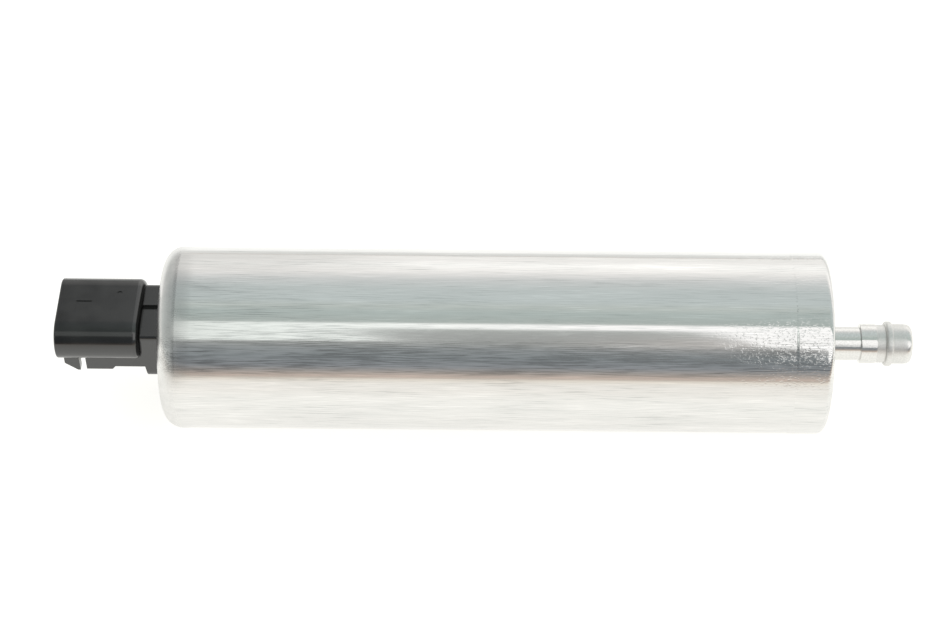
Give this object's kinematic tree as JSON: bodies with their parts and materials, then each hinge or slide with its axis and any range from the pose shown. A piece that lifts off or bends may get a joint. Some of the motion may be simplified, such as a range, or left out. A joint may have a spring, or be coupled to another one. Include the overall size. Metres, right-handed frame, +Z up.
{
  "type": "fuel pump",
  "caption": "Inline electric fuel pump: a long round aluminium can with a hose nipple at each end and a black moulded two-pin socket.",
  "frame": {"origin": "on the can's axis, halfway along the can, where a clamp band holds it", "axes": "+X along the can towards the inlet nipple, +Z up out of the socket's flat side, -Y towards the viewer of the picture"},
  "size_m": [0.2009, 0.0432, 0.0432],
  "materials": {
    "can_aluminium": "drawn aluminium, satin with fine lengthwise streaks",
    "nipple_aluminium": "turned aluminium, bright",
    "machined_aluminium": "machined aluminium",
    "black_plastic": "glass-filled polyamide, moulded, dull gloss",
    "white_plastic": "moulded acetal",
    "brown_plastic": "moulded phenolic",
    "tinned_brass": "tin-plated brass",
    "copper_braid": "braided copper",
    "enamelled_copper": "enamelled copper wire",
    "seal_rubber": "moulded fuel-resistant rubber",
    "spring_steel": "drawn spring steel",
    "plated_steel": "zinc-plated steel",
    "ground_steel": "ground steel",
    "lamination_steel": "stacked electrical steel",
    "sintered_steel": "sintered steel, ground faces",
    "ferrite": "pressed ferrite",
    "carbon_bush": "pressed carbon",
    "brush_carbon": "pressed carbon",
    "commutator_carbon": "carbon commutator segments"
  },
  "bodies": {
    "housing": {"can": "can_aluminium", "connector_cap": "black_plastic", "terminal_plus": "tinned_brass", "terminal_minus": "tinned_brass", "cap_o_ring": "seal_rubber", "outlet_nipple": "nipple_aluminium", "check_valve_body": "white_plastic", "check_spring": "spring_steel", "check_retainer": "white_plastic", "brush_holder": "white_plastic", "brush_spring_plus": "spring_steel", "brush_spring_minus": "spring_steel", "pigtail_plus": "copper_braid", "pigtail_minus": "copper_braid", "choke_core_plus": "ferrite", "choke_core_minus": "ferrite", "choke_coil_plus": "enamelled_copper", "choke_coil_minus": "enamelled_copper", "rear_bush": "carbon_bush", "front_bush": "carbon_bush", "yoke": "plated_steel", "magnet_upper": "ferrite", "magnet_lower": "ferrite", "magnet_clip_right": "spring_steel", "magnet_clip_left": "spring_steel", "rear_isolator": "seal_rubber", "front_isolator": "seal_rubber", "port_plate": "machined_aluminium", "gerotor_ring": "sintered_steel", "pump_inlet_plate": "machined_aluminium", "pump_screws": "plated_steel", "relief_spring": "spring_steel", "relief_retainer": "tinned_brass", "inlet_end_plate": "machined_aluminium", "plate_o_ring": "seal_rubber", "inlet_nipple": "nipple_aluminium", "inlet_strainer": "spring_steel"},
    "armature": {"shaft": "ground_steel", "armature_core": "lamination_steel", "armature_winding": "enamelled_copper", "commutator_hub": "brown_plastic", "commutator_segments": "commutator_carbon", "rear_washer": "white_plastic", "front_washer": "white_plastic", "drive_dog": "white_plastic", "inner_rotor": "sintered_steel"},
    "outer_rotor_body": {"outer_rotor": "sintered_steel"},
    "brush_plus_body": {"brush_plus": "brush_carbon"},
    "brush_minus_body": {"brush_minus": "brush_carbon"},
    "relief_ball_body": {"relief_ball": "ground_steel"},
    "check_poppet_body": {"check_poppet": "brown_plastic"}
  },
  "joints": [
    {"name": "armature_spin", "type": "hinge", "parent": "housing", "child": "armature", "pos_m": [0, 0, 0], "axis": [1, 0, 0], "continuous": true},
    {"name": "outer_rotor_spin", "type": "hinge", "parent": "housing", "child": "outer_rotor_body", "pos_m": [0.06005, 0, 0.001], "axis": [1, 0, 0], "continuous": true},
    {"name": "brush_plus_slide", "type": "slide", "parent": "housing", "child": "brush_plus_body", "axis": [-1, 0, 0], "range_m": [0, 0.003], "stiffness_N_per_m": 200, "springref_m": -0.004, "deforming": ["brush_spring_plus", "pigtail_plus"]},
    {"name": "brush_minus_slide", "type": "slide", "parent": "housing", "child": "brush_minus_body", "axis": [-1, 0, 0], "range_m": [0, 0.003], "stiffness_N_per_m": 200, "springref_m": -0.004, "deforming": ["brush_spring_minus", "pigtail_minus"]},
    {"name": "relief_ball_slide", "type": "slide", "parent": "housing", "child": "relief_ball_body", "axis": [1, 0, 0], "range_m": [0, 0.0012], "stiffness_N_per_m": 1500, "springref_m": -0.002, "deforming": ["relief_spring"]},
    {"name": "check_poppet_slide", "type": "slide", "parent": "housing", "child": "check_poppet_body", "axis": [-1, 0, 0], "range_m": [0, 0.002], "stiffness_N_per_m": 120, "springref_m": -0.003, "deforming": ["check_spring"]}
  ],
  "couplings": [
    {"joint": "outer_rotor_spin", "follows": "armature_spin", "ratio": 0.85714}
  ]
}
